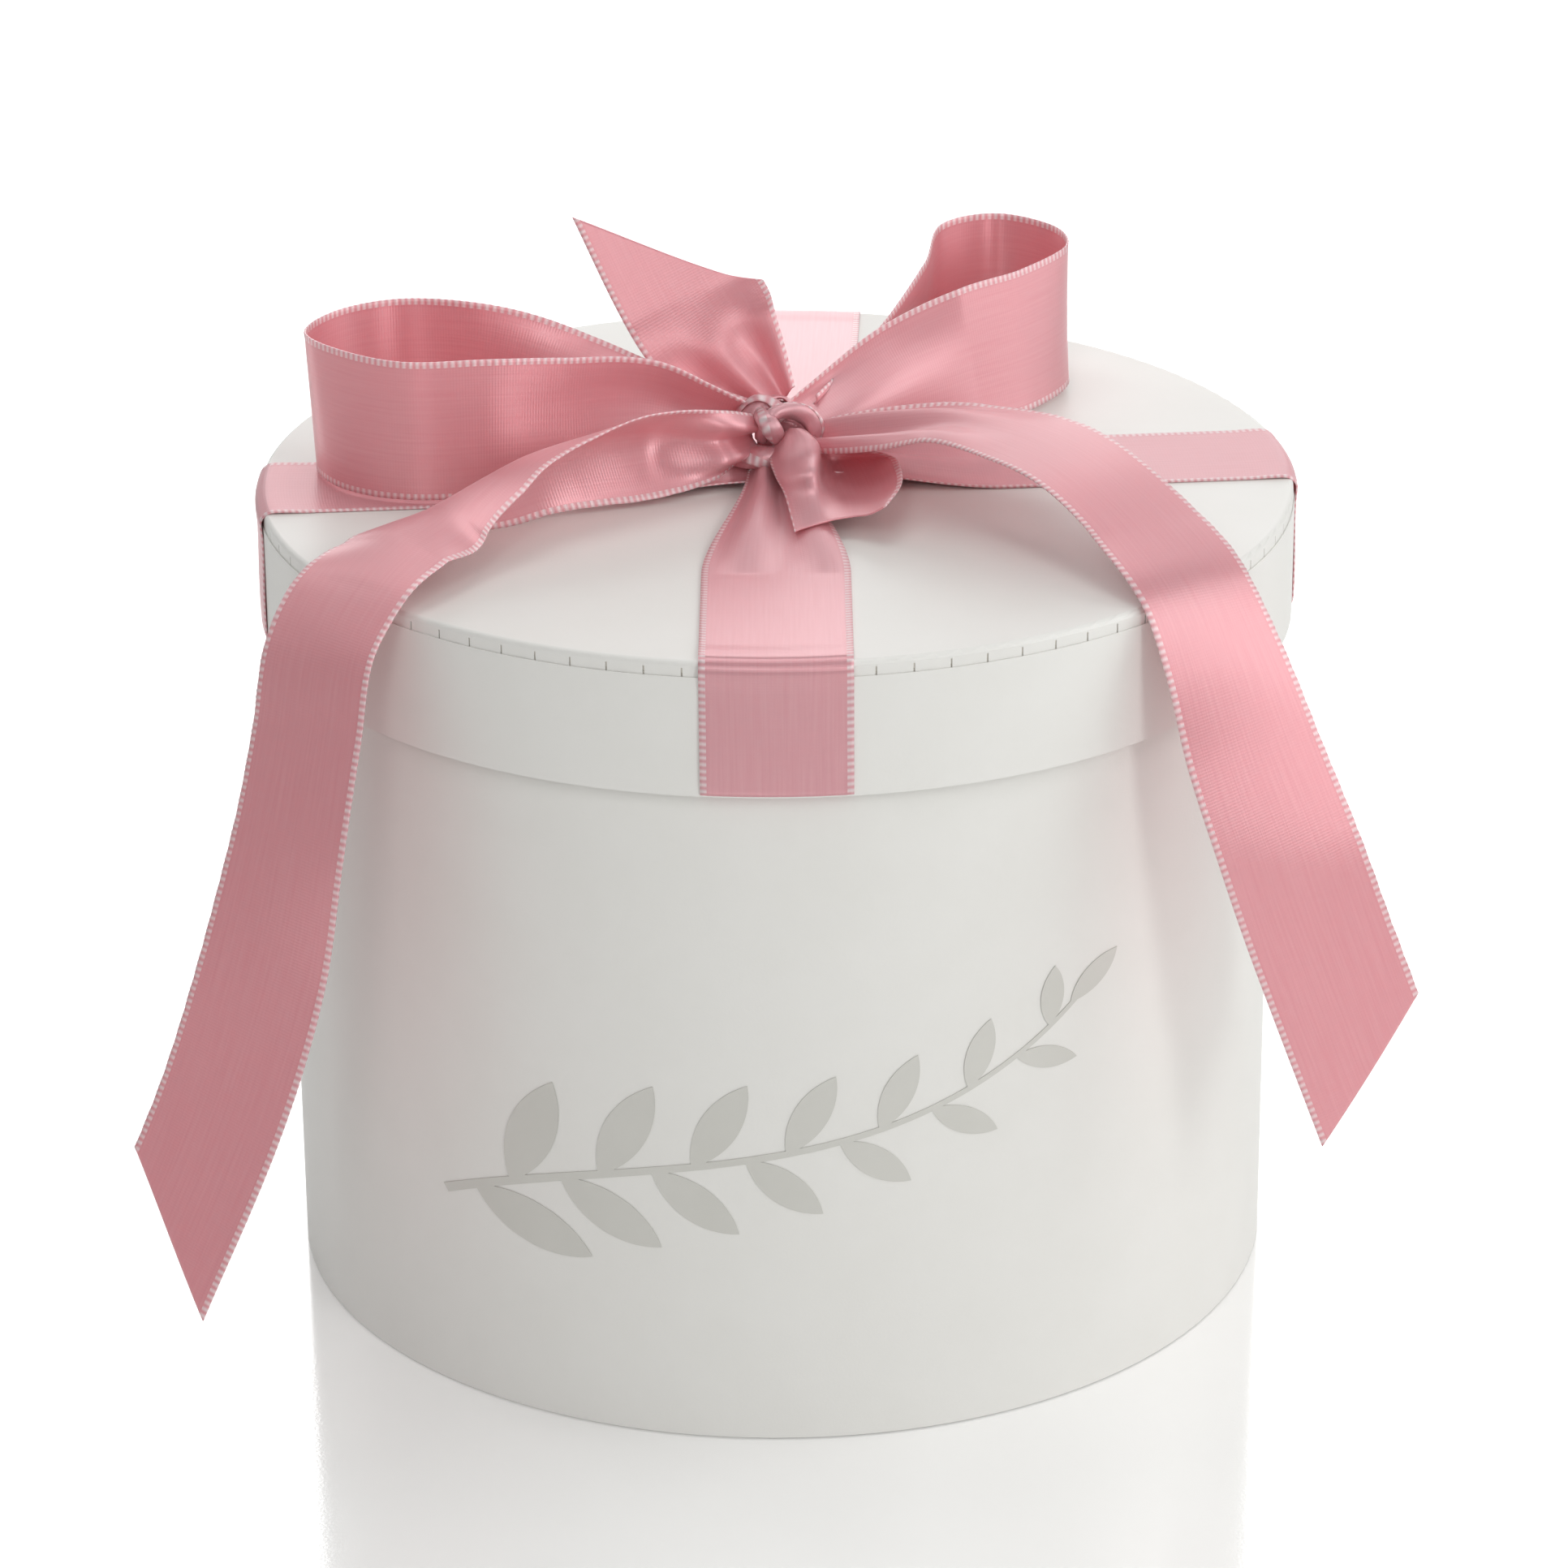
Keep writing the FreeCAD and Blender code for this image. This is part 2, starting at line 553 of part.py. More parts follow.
# The short front tail curls like a calla flower. Each row crosses the ribbon, from its left edge
# over a crest and through the cup to its right edge; the rows run from the knot to the cut end.
CURLED_TAIL = [
    [(1.7, -5, 153.8), (2.5, -7, 155.1), (3.9, -8.5, 155.6), (5, -5.5, 154.2),
     (5.9, -4, 153.1), (6.6, -5, 152.8), (7.2, -6.5, 152.6)],
    [(-0.6, -6, 151.4), (1.9, -10, 153.3), (6.2, -11.5, 154.4), (7.6, -8, 152.3),
     (8.5, -5, 150.8), (9.8, -5.5, 151), (11.3, -7.5, 152)],
    [(-1.2, -9, 150.4), (1.9, -13.5, 151.7), (6.6, -15, 153), (8.2, -10.5, 150.4),
     (10.6, -8, 149), (14.9, -8.5, 149.9), (19.7, -11.5, 151.6)],
    [(-0.2, -15.7, 149.5), (2.1, -19.5, 150.5), (6.5, -21.8, 152.2), (8.4, -18, 149.4),
     (11.7, -18, 148.5), (16.9, -17.5, 149.4), (21.3, -20.8, 152.8)],
    [(1.4, -22.2, 148.3), (3.5, -24.8, 148.9), (6.6, -25.6, 149.7), (9.1, -24.6, 148.6),
     (12.7, -25.4, 148.4), (17.4, -25, 149.5), (21.3, -27.6, 152)],
    [(3, -35.7, 146.6), (4.5, -35.2, 147), (7.3, -34.5, 147.6), (10.1, -33.2, 147.9),
     (13.1, -33, 148.3), (15.9, -34.4, 149.2), (18.6, -36, 151.3)],
]


def curled_sheet(rows, thick):
    """A closed solid of small flat faces, half the thickness to each side of the rows."""
    grid = [[V(*point) for point in row] for row in rows]
    last_row, last_place = len(grid) - 1, len(grid[0]) - 1

    def skin(side):
        """The grid moved along its own normals."""
        moved = []
        for i in range(last_row + 1):
            line = []
            for j in range(last_place + 1):
                down = grid[min(i + 1, last_row)][j] - grid[max(i - 1, 0)][j]
                across = grid[i][min(j + 1, last_place)] - grid[i][max(j - 1, 0)]
                normal = down.cross(across).normalize()
                line.append(grid[i][j] + normal * (side * thick / 2))
            moved.append(line)
        return moved

    front, back = skin(1), skin(-1)
    triangles = []
    for face in (front, back):
        for i in range(last_row):
            for j in range(last_place):
                a, b, c, d = face[i][j], face[i + 1][j], face[i + 1][j + 1], face[i][j + 1]
                triangles += [(a, b, c), (a, c, d)]
    border = [(0, j) for j in range(last_place)]
    border += [(i, last_place) for i in range(last_row)]
    border += [(last_row, j) for j in range(last_place, 0, -1)]
    border += [(i, 0) for i in range(last_row, 0, -1)]
    for (i, j), (k, l) in zip(border, border[1:] + border[:1]):
        triangles += [(front[i][j], front[k][l], back[k][l]), (front[i][j], back[k][l], back[i][j])]
    faces = [Part.Face(Part.makePolygon([a, b, c, a])) for a, b, c in triangles]
    shell = Part.makeShell(faces)
    shell.sewShape()
    solid = Part.makeSolid(Part.Shell(shell.Faces))
    if solid.Volume < 0:
        solid.reverse()
    return solid


curl = doc.addObject("Part::Feature", "tail_front")
curl.Shape = curled_sheet(CURLED_TAIL, BOW_THICK)

KNOT_MIDDLE = V(1, 1, 152.1)
KNOT_RADII = (7.0, 8.5, 7.0)
knot = doc.addObject("Part::Ellipsoid", "bow_knot")
knot.Radius1, knot.Radius2, knot.Radius3 = KNOT_RADII
knot.Placement = FreeCAD.Placement(KNOT_MIDDLE, FreeCAD.Rotation())

# ---------------------------------------------------------------- check and write
PIECES = [tube, base_board, wrap, wall_liner, base_liner, base_cover, decal,
          top_board, rim_hoop, top_cover, rim_wrap, lid_liner, tape_ring]
PIECES += bands + bow_ribbons + [curl, knot]

doc.recompute()
for item in doc.Objects:
    if "Invalid" in item.State or "Error" in item.State:
        raise RuntimeError("%s failed: %s" % (item.Label, item.State))
os.makedirs("parts", exist_ok=True)
for piece in PIECES:
    shape = piece.Shape
    if shape.isNull() or not shape.isValid() or shape.Volume <= 0:
        raise RuntimeError("%s has no valid shape" % piece.Label)
    shape.exportStep("parts/%s.step" % piece.Label)
    box = shape.BoundBox
    print("%-18s %10.1f mm3, %d solid(s), x %.1f..%.1f, y %.1f..%.1f, z %.1f..%.1f" % (
        piece.Label, shape.Volume, len(shape.Solids),
        box.XMin, box.XMax, box.YMin, box.YMax, box.ZMin, box.ZMax))
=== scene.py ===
# %% [markdown]
# # A round flower box with a ribbon bow
# The boards and papers of the box come ready made, to size, as the fixed frame. This lesson
# gives them their finishes and makes the soft goods round them: the crossed ribbon bands, the
# bow and its tails. All the ribbon is one kind, a 25 mm satin with stitched edges.

# %% Load the frame
import math

import bmesh
import bpy
from mathutils import Euler, Matrix, Vector


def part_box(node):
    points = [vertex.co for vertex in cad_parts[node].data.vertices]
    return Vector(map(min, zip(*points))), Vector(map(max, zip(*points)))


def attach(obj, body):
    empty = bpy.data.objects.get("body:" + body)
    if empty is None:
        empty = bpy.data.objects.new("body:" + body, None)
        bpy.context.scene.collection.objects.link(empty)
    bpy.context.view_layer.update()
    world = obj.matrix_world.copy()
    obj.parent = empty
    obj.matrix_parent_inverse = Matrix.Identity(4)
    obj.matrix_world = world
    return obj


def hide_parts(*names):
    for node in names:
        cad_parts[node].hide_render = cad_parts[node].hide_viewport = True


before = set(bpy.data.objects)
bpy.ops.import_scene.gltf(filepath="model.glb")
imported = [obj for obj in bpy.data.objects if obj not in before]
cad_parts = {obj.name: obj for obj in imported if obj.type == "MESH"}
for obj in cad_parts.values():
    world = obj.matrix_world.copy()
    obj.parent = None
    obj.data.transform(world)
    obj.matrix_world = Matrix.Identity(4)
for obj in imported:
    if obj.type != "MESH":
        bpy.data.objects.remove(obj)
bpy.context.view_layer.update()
MM = 0.001

# %% [markdown]
# ## Sizes read from the frame
# The ribbons lie on the lid and hang past its rim, so its top, its rim and its lower edge are
# measured from the pieces themselves, in millimetres.

# %% Measure the lid
cover_low, cover_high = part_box("lid_top_cover")
rim_low, rim_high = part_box("lid_rim_wrap")
LID_TOP = cover_high.z / MM
RIM_RADIUS = rim_high.x / MM
RIM_FOOT = rim_low.z / MM
RIM_INSIDE = RIM_RADIUS - 2.25   # the turned-up ends of the ribbons lie inside this
RIBBON_WIDTH = 25.0
RIBBON_THICK = 0.28
LOOP_PITCH = 1.2   # of the stitched loops along each edge
RIB_PITCH = 0.5    # of the ribs across the ribbon
print("lid top %.1f, rim radius %.1f, rim foot %.1f mm" % (LID_TOP, RIM_RADIUS, RIM_FOOT))

# %% [markdown]
# ## The camera
# A long lens, about a metre away, looks down on the lid by some twenty-three degrees. A long
# lens keeps the round lid's ellipse flat, as in a catalogue picture.

# %% Place the camera
CAMERA_PLACE = Vector((0.0, -0.9517, 0.4879))
CAMERA_TILT = math.radians(90 - 22.95)
CAMERA_TURN = math.radians(-0.055)
CAMERA_ROLL = math.radians(-0.45)
lens_data = bpy.data.cameras.new("camera")
lens_data.sensor_width = 36
lens_data.lens = 131.76
lens_data.clip_end = 20
camera = bpy.data.objects.new("camera", lens_data)
camera.matrix_world = (Matrix.Translation(CAMERA_PLACE)
                       @ Euler((CAMERA_TILT, 0, CAMERA_TURN)).to_matrix().to_4x4()
                       @ Matrix.Rotation(CAMERA_ROLL, 4, "Z"))
bpy.context.scene.collection.objects.link(camera)
bpy.context.scene.camera = camera
print("camera %.2f m from the box" % camera.location.length)

# %% [markdown]
# ## Light and floor
# Satin shows its folds by reflecting wide, soft lights. The two strongest softboxes stand on the
# right and at the right front. Weaker ones stand in front, above and at the back left, and the
# surround is darker on the left, so the right side of most folds is the bright one. The floor is
# a glossy white table: it mirrors a lit white panel behind the box, and faintly the box itself.


# %% Helpers for colours, nodes and lights
def linear(hex_colour):
    """A colour written as sRGB hex, as the linear numbers that shaders use."""
    parts = [int(hex_colour[i:i + 2], 16) / 255 for i in (1, 3, 5)]
    curve = [c / 12.92 if c <= 0.04045 else ((c + 0.055) / 1.055) ** 2.4 for c in parts]
    return (*curve, 1.0)


def add_node(tree, kind, settings=None, links=None, **values):
    """A shader node with its settings, its socket values and its incoming links."""
    node = tree.nodes.new(kind)
    for key, setting in (settings or {}).items():
        setattr(node, key, setting)
    for key, number in values.items():
        node.inputs[key.replace("_", " ")].default_value = number
    for key, source in (links or {}).items():
        tree.links.new(source, node.inputs[key])
    return node


def area_light(name, place, target, size, watts):
    """A white rectangular light that points at its target. Lengths are in metres."""
    light = bpy.data.lights.new(name, "AREA")
    light.shape = "RECTANGLE"
    light.size, light.size_y = size
    light.energy = watts
    lamp = bpy.data.objects.new(name, light)
    aim = (Vector(target) - Vector(place)).to_track_quat("-Z", "Y")
    lamp.matrix_world = Matrix.Translation(place) @ aim.to_matrix().to_4x4()
    bpy.context.scene.collection.objects.link(lamp)


# %% Lights, surround and floor
scene = bpy.context.scene
scene.view_settings.view_transform = "Standard"
SKY_LEFT, SKY_RIGHT = 0.33, 0.58
world = bpy.data.worlds.new("surround")
scene.world = world
world.use_nodes = True
sky = world.node_tree
sky_place = add_node(sky, "ShaderNodeTexCoord").outputs["Generated"]
sky_split = add_node(sky, "ShaderNodeSeparateXYZ", links={"Vector": sky_place})
# From the far left (-1) to the far right (1).
sky_level = add_node(sky, "ShaderNodeMapRange", links={"Value": sky_split.outputs["X"]})
sky_range = (("From Min", -1.0), ("From Max", 1.0), ("To Min", SKY_LEFT), ("To Max", SKY_RIGHT))
for socket, number in sky_range:
    sky_level.inputs[socket].default_value = number
sky.nodes["Background"].inputs["Color"].default_value = linear("#ffffff")
sky.links.new(sky_level.outputs["Result"], sky.nodes["Background"].inputs["Strength"])

# Place, target, size and watts of each light.
LIGHTS = {
    "softbox_right": ((1.1, 0.05, 0.75), (0, 0, 0.1), (0.9, 0.8), 4.6),
    "softbox_right_front": ((0.85, -1.25, 0.7), (0, 0, 0.1), (0.26, 0.9), 5.0),
    "softbox_front": ((-0.25, -1.3, 1.15), (0, 0, 0.1), (0.3, 0.7), 3.4),
    "softbox_above": ((-0.1, 0.3, 1.3), (0, 0, 0.13), (0.8, 0.5), 2.8),
    "strip_back_left": ((-0.95, 0.8, 0.65), (0, 0, 0.13), (0.35, 0.8), 1.6),
    "panel_behind": ((0, 2.2, 0.8), (0, 0, 0.3), (1.7, 1.4), 12.0),
}
for light_name, (place, target, size, watts) in LIGHTS.items():
    area_light(light_name, place, target, size, watts)

floor_mesh = bmesh.new()
bmesh.ops.create_grid(floor_mesh, x_segments=1, y_segments=1, size=6.0)
floor_data = bpy.data.meshes.new("floor")
floor_mesh.to_mesh(floor_data)
floor_mesh.free()
floor = bpy.data.objects.new("floor", floor_data)
scene.collection.objects.link(floor)
print("lights:", ", ".join(LIGHTS))

# %% [markdown]
# ## Paper, board and vinyl
# The wrapping paper is white art paper with a thin clay coat: nearly smooth, with a low satin
# gloss and the faint cloudiness that paper pulp leaves. Greyboard is rougher and shows fibres;
# it only appears at cut edges inside. The decal is matt self-adhesive vinyl.


# %% Paper-like finishes
def surface(name):
    """A new material and its principled shader."""
    material = bpy.data.materials.new(name)
    material.use_nodes = True
    return material, material.node_tree, material.node_tree.nodes["Principled BSDF"]


def pulp_material(name, light, dark, roughness, cloud_mm, grain_mm, relief):
    """Paper or board: two close tones in soft clouds, and a fine raised grain."""
    material, tree, shader = surface(name)
    place = add_node(tree, "ShaderNodeTexCoord").outputs["Object"]
    cloud = add_node(tree, "ShaderNodeTexNoise", links={"Vector": place},
                     Scale=1 / (cloud_mm * MM), Detail=3.0)
    tone = add_node(tree, "ShaderNodeMix", {"data_type": "RGBA"},
                    {"Factor": cloud.outputs["Fac"]})
    tone.inputs["A"].default_value = linear(dark)
    tone.inputs["B"].default_value = linear(light)
    grain = add_node(tree, "ShaderNodeTexNoise", links={"Vector": place},
                     Scale=1 / (grain_mm * MM), Detail=2.0)
    bump = add_node(tree, "ShaderNodeBump", links={"Height": grain.outputs["Fac"]},
                    Strength=relief, Distance=0.05 * MM)
    tree.links.new(tone.outputs["Result"], shader.inputs["Base Color"])
    tree.links.new(bump.outputs["Normal"], shader.inputs["Normal"])
    shader.inputs["Roughness"].default_value = roughness
    shader.inputs["IOR"].default_value = 1.5
    return material


COATED_PAPER = pulp_material("coated art paper", "#e6e5e1", "#e1e0db", 0.42, 14, 0.5, 0.35)
PLAIN_PAPER = pulp_material("uncoated white paper", "#f0eee8", "#e8e6df", 0.75, 9, 0.35, 0.6)
GREYBOARD = pulp_material("greyboard", "#a39a8c", "#867d70", 0.9, 3, 0.3, 1.0)
LINED_BOARD = pulp_material("white-lined board", "#e0dcd3", "#d5d0c6", 0.8, 4, 0.3, 0.8)
TISSUE_TAPE = pulp_material("double-sided tissue tape", "#eeece2", "#e0ddd0", 0.5, 4, 0.4, 0.3)
DECAL_VINYL = pulp_material("matt grey vinyl film", "#d0cfc9", "#c8c7c0", 0.55, 18, 0.3, 0.25)
FLOOR_PAPER = pulp_material("pale background paper", "#f7f7f6", "#f5f5f4", 0.8, 60, 0.6, 0.2)
floor_data.materials.append(FLOOR_PAPER)
floor_shader = FLOOR_PAPER.node_tree.nodes["Principled BSDF"]
floor_shader.inputs["Emission Color"].default_value = linear("#ffffff")
floor_shader.inputs["Emission Strength"].default_value = 0.1
floor_shader.inputs["Metallic"].default_value = 0.33
floor_shader.inputs["Roughness"].default_value = 0.1

# %% Give the boards and papers their finish
FINISHES = {
    "body_tube": GREYBOARD,
    "body_base_board": GREYBOARD,
    "body_outer_wrap": COATED_PAPER,
    "body_wall_liner": PLAIN_PAPER,
    "base_liner_disc": PLAIN_PAPER,
    "base_cover_disc": PLAIN_PAPER,
    "front_decal": DECAL_VINYL,
    "lid_top_board": LINED_BOARD,
    "lid_rim_board": LINED_BOARD,
    "lid_top_cover": COATED_PAPER,
    "lid_rim_wrap": COATED_PAPER,
    "lid_inner_liner": PLAIN_PAPER,
    "ribbon_tape_pads": TISSUE_TAPE,
}
for node_name, finish in FINISHES.items():
    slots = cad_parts[node_name].data.materials
    slots.clear()
    slots.append(finish)
print("finishes on", len(FINISHES), "boards and papers")

# %% [markdown]
# ## Satin ribbon
# Polyester satin: long warp floats run along the ribbon, so its gloss is soft along the length
# and broken into fine ribs across it. The edges are woven over and over into small loops, 1.2 mm
# apart. The pattern follows the ribbon's own UV map, which holds millimetres along and across.


# %% The satin material
STITCHED = 1.05   # width of the stitched edge, in mm
GROOVE = 1.35     # the woven groove inside it ends here


def satin_material(name, face, loop_highlight_tone):
    """Two close face tones with painted sheen in long streaks, painted highlight on pale edge
    loops, painted shade in their groove, and a stretched gloss.
    """
    material, tree, shader = surface(name)
    uv = add_node(tree, "ShaderNodeUVMap", {"uv_map": "ribbon_mm"}).outputs["UV"]
    split = add_node(tree, "ShaderNodeSeparateXYZ", links={"Vector": uv})

    def maths(operation, first, second=None, third=None):
        """The output of a Math node whose inputs are numbers or other outputs."""
        node = add_node(tree, "ShaderNodeMath", {"operation": operation})
        for socket, source in zip(node.inputs, (first, second, third)):
            if isinstance(source, (int, float)):
                socket.default_value = source
            elif source is not None:
                tree.links.new(source, socket)
        return node.outputs[0]

    # The stitched edge: a mask about 1 mm wide on each side, cut into loops.
    from_edge = maths("SUBTRACT", RIBBON_WIDTH / 2, maths("ABSOLUTE", split.outputs["Y"]))
    edge = maths("LESS_THAN", from_edge, STITCHED)
    loops = maths("SINE", maths("MULTIPLY", split.outputs["X"], 2 * math.pi / LOOP_PITCH))
    stitch = maths("MULTIPLY", edge, maths("MULTIPLY_ADD", loops, 0.5, 0.5))
    inner = maths("LESS_THAN", from_edge, GROOVE)
    groove = maths("MULTIPLY", inner, maths("SUBTRACT", 1.0, edge))

    # Ribs across the ribbon; the real ones are finer and would not show.
    ribs = maths("SINE", maths("MULTIPLY", split.outputs["X"], 2 * math.pi / RIB_PITCH))
    # Streaks about 17 mm long and half a millimetre wide. They are raised a little in the bump,
    # and their lighter colour is painted sheen along the long threads.
    streak_place = add_node(tree, "ShaderNodeMapping", links={"Vector": uv})
    streak_place.inputs["Scale"].default_value = (0.06, 2.2, 1.0)
    streaks = add_node(tree, "ShaderNodeTexNoise", links={"Vector": streak_place.outputs[0]},
                       Scale=1.0, Detail=3.0)

    # Painted sheen: the face tone turns lighter along the streaks.
    tone = add_node(tree, "ShaderNodeMix", {"data_type": "RGBA"},
                    {"Factor": maths("MULTIPLY", streaks.outputs["Fac"], 0.9)})
    tone.inputs["A"].default_value = linear(face[0])
    tone.inputs["B"].default_value = linear(face[1])
    # Painted highlight: the crests of the edge loops are mixed towards a pale tone.
    loop_highlighted = add_node(tree, "ShaderNodeMix", {"data_type": "RGBA"},
                     {"Factor": maths("MULTIPLY", stitch, 0.75), "A": tone.outputs["Result"]})
    loop_highlighted.inputs["B"].default_value = linear(loop_highlight_tone)
    # Painted shade: the groove inside the loops is mixed towards the darker face tone.
    groove_shaded = add_node(tree, "ShaderNodeMix", {"data_type": "RGBA"},
                       {"Factor": maths("MULTIPLY", groove, 0.35), "A": loop_highlighted.outputs["Result"]})
    groove_shaded.inputs["B"].default_value = linear(face[0])
    tree.links.new(groove_shaded.outputs["Result"], shader.inputs["Base Color"])

    height = maths("MULTIPLY_ADD", ribs, 0.12,
                   maths("MULTIPLY_ADD", stitch, 1.2, streaks.outputs["Fac"]))
    bump = add_node(tree, "ShaderNodeBump", links={"Height": height}, Strength=0.35,
                    Distance=0.09 * MM)
    tree.links.new(bump.outputs["Normal"], shader.inputs["Normal"])
    gloss = maths("MULTIPLY_ADD", edge, 0.1, 0.42)
    tree.links.new(gloss, shader.inputs["Roughness"])
    # The long threads stretch each highlight across the ribbon.
    thread_way = add_node(tree, "ShaderNodeTangent",
                          {"direction_type": "UV_MAP", "uv_map": "ribbon_mm"})
    tree.links.new(thread_way.outputs["Tangent"], shader.inputs["Tangent"])
    # The subsurface part is the light that thin cloth lets through.
    gloss_and_glow = {
        "Anisotropic": 0.9, "Anisotropic Rotation": 0.25, "Metallic": 0.32, "IOR": 1.8,
        "Specular IOR Level": 0.8, "Subsurface Weight": 0.6,
        "Subsurface Radius": (1.0, 0.5, 0.5), "Subsurface Scale": 2.0 * MM,
        "Coat Weight": 0.5, "Coat Roughness": 0.3,
        "Sheen Weight": 0.2, "Sheen Roughness": 0.3, "Sheen Tint": linear("#ffe6e8"),
    }
    for socket, number in gloss_and_glow.items():
        shader.inputs[socket].default_value = number
    return material


# The lighter face tone is painted sheen for the streaks, and the last colour is the painted
# highlight on the edge loops.
SATIN = satin_material("satin polyester ribbon", ("#de8b93", "#e9a2a9"), "#f8dfe0")
print("material:", SATIN.name)

# %% [markdown]
# ## How a ribbon is made here
# A ribbon is a flat grid that is carried along a smooth line. The line goes through a few
# stations; each one gives the middle of the ribbon, the way its width points, and how wide it
# is gathered there. Where it is gathered, part of the spare width goes into pleats and the rest
# is left out: next to the knot, where a loop is 9 mm wide, its folds hold 15 of the real 25 mm.
# The edges get their small loops as real relief. A Solidify modifier then gives the cloth its
# thickness.


# %% A smooth line through stations
def slopes(values, marks):
    """The slope at each station, from its neighbours."""
    last = len(values) - 1
    result = []
    for i in range(last + 1):
        low, high = max(i - 1, 0), min(i + 1, last)
        result.append((values[high] - values[low]) / (marks[high] - marks[low]))
    return result


class Line:
    """A ribbon's middle line, measured by its length in mm."""

    def __init__(self, stations, fine=40):
        points = [Vector(s[0]) for s in stations]
        sides = [Vector(s[1]).normalized() for s in stations]
        widths = [Vector((s[2], 0, 0)) for s in stations]
        marks = [0.0]
        for a, b in zip(points, points[1:]):
            marks.append(marks[-1] + (b - a).length)
        tracks = [(v, slopes(v, marks)) for v in (points, sides, widths)]
        self.rows = []
        for i in range(len(points) - 1):
            span = marks[i + 1] - marks[i]
            for k in range(fine + (i == len(points) - 2)):
                t = k / fine
                row = []
                for values, slope in tracks:
                    row.append(values[i] * (2 * t**3 - 3 * t**2 + 1)
                               + slope[i] * (span * (t**3 - 2 * t**2 + t))
                               + values[i + 1] * (3 * t**2 - 2 * t**3)
                               + slope[i + 1] * (span * (t**3 - t**2)))
                self.rows.append(row)
        self.marks = [0.0]
        for a, b in zip(self.rows, self.rows[1:]):
            self.marks.append(self.marks[-1] + (b[0] - a[0]).length)
        self.length = self.marks[-1]

    def at(self, distance):
        """Middle, direction, width direction, outward direction and width at a distance."""
        distance = min(max(distance, 0.0), self.length)
        low, high = 0, len(self.marks) - 1
        while high - low > 1:
            middle = (low + high) // 2
            if self.marks[middle] <= distance:
                low = middle
            else:
                high = middle
        share = (distance - self.marks[low]) / max(self.marks[high] - self.marks[low], 1e-9)
        place = self.rows[low][0].lerp(self.rows[high][0], share)
        side = self.rows[low][1].lerp(self.rows[high][1], share)
        width = self.rows[low][2].lerp(self.rows[high][2], share).x
        along = (self.rows[high][0] - self.rows[low][0]).normalized()
        side = (side - along * side.dot(along)).normalized()
        return place, along, side, along.cross(side), width


# %% The cloth grid
def smooth_step(low, high, number):
    """Rises softly from 0 at low to 1 at high."""
    t = min(max((number - low) / (high - low), 0.0), 1.0)
    return t * t * (3 - 2 * t)


SCALLOP = 0.10   # how far the stitched loops reach outwards and upwards, in mm
LOOP_RISE = 0.07


def selvedge(distance, across):
    """Relief of the stitched edge: outward scallop and raised loop, in mm."""
    from_edge = RIBBON_WIDTH / 2 - abs(across)
    near = 1 - smooth_step(0.2, 1.1, from_edge)
    wave = math.sin(2 * math.pi * distance / LOOP_PITCH)
    return SCALLOP * near * wave, LOOP_RISE * near * wave


def cloth(name, length, shape, step=0.6, columns=40, slant=0.0):
    """A ribbon grid: shape(distance, across) gives each point's place, in mm.

    slant is how much shorter the edge at negative across is cut.
    """
    rows = max(int(length / step), 8)
    mesh = bmesh.new()
    bmesh.ops.create_grid(mesh, x_segments=rows, y_segments=columns, size=1.0)
    uv_layer = mesh.loops.layers.uv.new("ribbon_mm")
    flat = {}
    for vert in mesh.verts:
        u, v = (vert.co.x + 1) / 2, (vert.co.y + 1) / 2
        across = (v - 0.5) * RIBBON_WIDTH
        distance = u * (length - slant * (1 - v))
        flat[vert] = (distance, across)
    for face in mesh.faces:
        for loop in face.loops:
            loop[uv_layer].uv = flat[loop.vert]
    for vert, (distance, across) in flat.items():
        vert.co = shape(distance, across) * MM
    data = bpy.data.meshes.new(name)
    mesh.to_mesh(data)
    mesh.free()
    data.polygons.foreach_set("use_smooth", [True] * len(data.polygons))
    data.materials.append(SATIN)
    piece = bpy.data.objects.new(name, data)
    bpy.context.scene.collection.objects.link(piece)
    thick = piece.modifiers.new("cloth_thickness", "SOLIDIFY")
    thick.thickness = RIBBON_THICK * MM
    thick.offset = 0.0
    return piece


# %% Ribbons through stations
PLEAT_DEPTH = 0.75   # below 1, so the pleats are too shallow to hold all of the cloth
PLEAT_ONSET = 0.1    # keeps the first pleats shallow, so that they start without a crease
ARCH_ONSET = 18.0    # length over which pleats turn into one arch, in mm
ARCH_HEIGHT = 0.375  # the arch also grows with the width and with the spare width


def free_ribbon(name, stations, pleats, crown=0.0, slant=0.0, phase=0.0, arch_from=None):
    """A ribbon through stations. Part of its spare width goes into pleats, or past arch_from mm
    into one arch across the whole ribbon.
    """
    line = Line(stations)

    def shape(distance, across):
        place, along, side, out, width = line.at(distance)
        share = across / RIBBON_WIDTH
        tight = max(RIBBON_WIDTH / max(width, 1.0) - 1, 0.0)
        depth = PLEAT_DEPTH * width / (math.pi * pleats) * tight / math.sqrt(tight + PLEAT_ONSET)
        scallop, raised = selvedge(distance, across)
        fold = depth * math.sin(2 * math.pi * pleats * share + phase)
        bulge = crown * (1 - 4 * share * share)
        if arch_from is not None:
            arched = smooth_step(arch_from, arch_from + ARCH_ONSET, distance)
            spare = max(RIBBON_WIDTH - width, 0.0)
            height = spare * math.sqrt(ARCH_HEIGHT * width / (spare + 1.0))
            fold = fold * (1 - arched) + arched * height * math.cos(math.pi * share)
        sideways = share * width + math.copysign(scallop, across)
        return place + side * sideways + out * (fold + bulge + raised)

    piece = cloth(name, line.length, shape, slant=slant)
    print("%-16s %.0f mm of ribbon" % (name, line.length))
    return piece, line.length


# %% [markdown]
# ## The bow
# The two loops stand on their edges on the lid. The tails run over the rim and hang in the air,
# held out by the ribbon's own stiffness, and end in slanted cuts.

